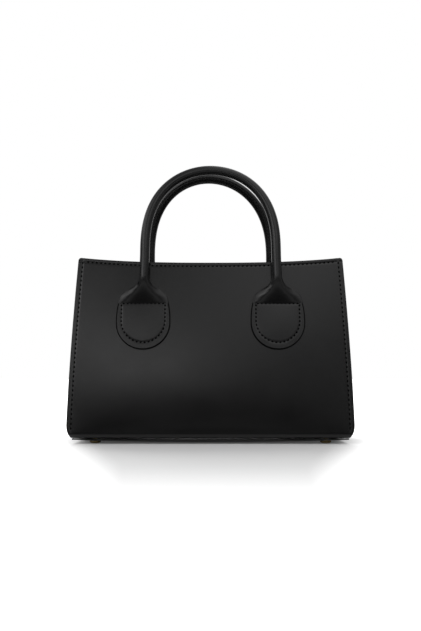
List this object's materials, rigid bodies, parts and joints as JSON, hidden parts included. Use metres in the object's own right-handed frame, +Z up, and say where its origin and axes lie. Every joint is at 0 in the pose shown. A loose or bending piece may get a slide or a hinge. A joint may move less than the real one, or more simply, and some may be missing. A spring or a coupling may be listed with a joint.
{
  "type": "handbag",
  "caption": "Small structured handbag in smooth black faux leather with rolled top handles on D shaped tabs, folded gussets, an open mouth with a magnetic snap and low brass feet.",
  "frame": {"origin": "centre of the bag on the floor it stands on, under the flat bottoms of the feet", "axes": "+X to the bag's own left hand seen from behind, so to the right in a front view; +Y from the front panel to the back panel; +Z up"},
  "size_m": [0.2698, 0.1038, 0.2717],
  "materials": {
    "panel_leather": "satin, very fine grain",
    "handle_leather": "satin, rolled smooth",
    "lining_cloth": "plain woven",
    "stiffening_board": "pressed fibre board",
    "brass_feet": "polished",
    "nickel_snap": "plated",
    "nickel_washers": "plated",
    "core_cord": "twisted cotton"
  },
  "bodies": {
    "bag_body": {"front_panel": "panel_leather", "back_panel": "panel_leather", "base_panel": "panel_leather", "gusset_left": "panel_leather", "gusset_right": "panel_leather", "front_facing": "panel_leather", "back_facing": "panel_leather", "gusset_facing_left": "panel_leather", "gusset_facing_right": "panel_leather", "handle_tab_front_left": "handle_leather", "handle_tab_front_right": "handle_leather", "handle_tab_back_left": "handle_leather", "handle_tab_back_right": "handle_leather", "front_lining": "lining_cloth", "back_lining": "lining_cloth", "base_lining": "lining_cloth", "gusset_lining_left": "lining_cloth", "gusset_lining_right": "lining_cloth", "slip_pocket": "lining_cloth", "front_stiffener": "stiffening_board", "back_stiffener": "stiffening_board", "base_board": "stiffening_board", "foot_front_left": "brass_feet", "foot_front_right": "brass_feet", "foot_back_left": "brass_feet", "foot_back_right": "brass_feet", "snap_stud": "nickel_snap", "snap_socket": "nickel_snap", "foot_washer_front_left": "nickel_washers", "foot_washer_front_right": "nickel_washers", "foot_washer_back_left": "nickel_washers", "foot_washer_back_right": "nickel_washers", "snap_stud_washer": "nickel_washers", "snap_socket_washer": "nickel_washers"},
    "front_handle": {"front_handle_sleeve": "handle_leather", "front_handle_core": "core_cord"},
    "back_handle": {"back_handle_sleeve": "handle_leather", "back_handle_core": "core_cord"}
  },
  "joints": [
    {"name": "front_handle_swing", "type": "hinge", "parent": "bag_body", "child": "front_handle", "pos_m": [0, -0.03876, 0.13296], "axis": [1, 0, 0], "range_deg": [-2.5, 85]},
    {"name": "back_handle_swing", "type": "hinge", "parent": "bag_body", "child": "back_handle", "pos_m": [0, 0.03876, 0.13296], "axis": [-1, 0, 0], "range_deg": [-2.5, 85]}
  ]
}
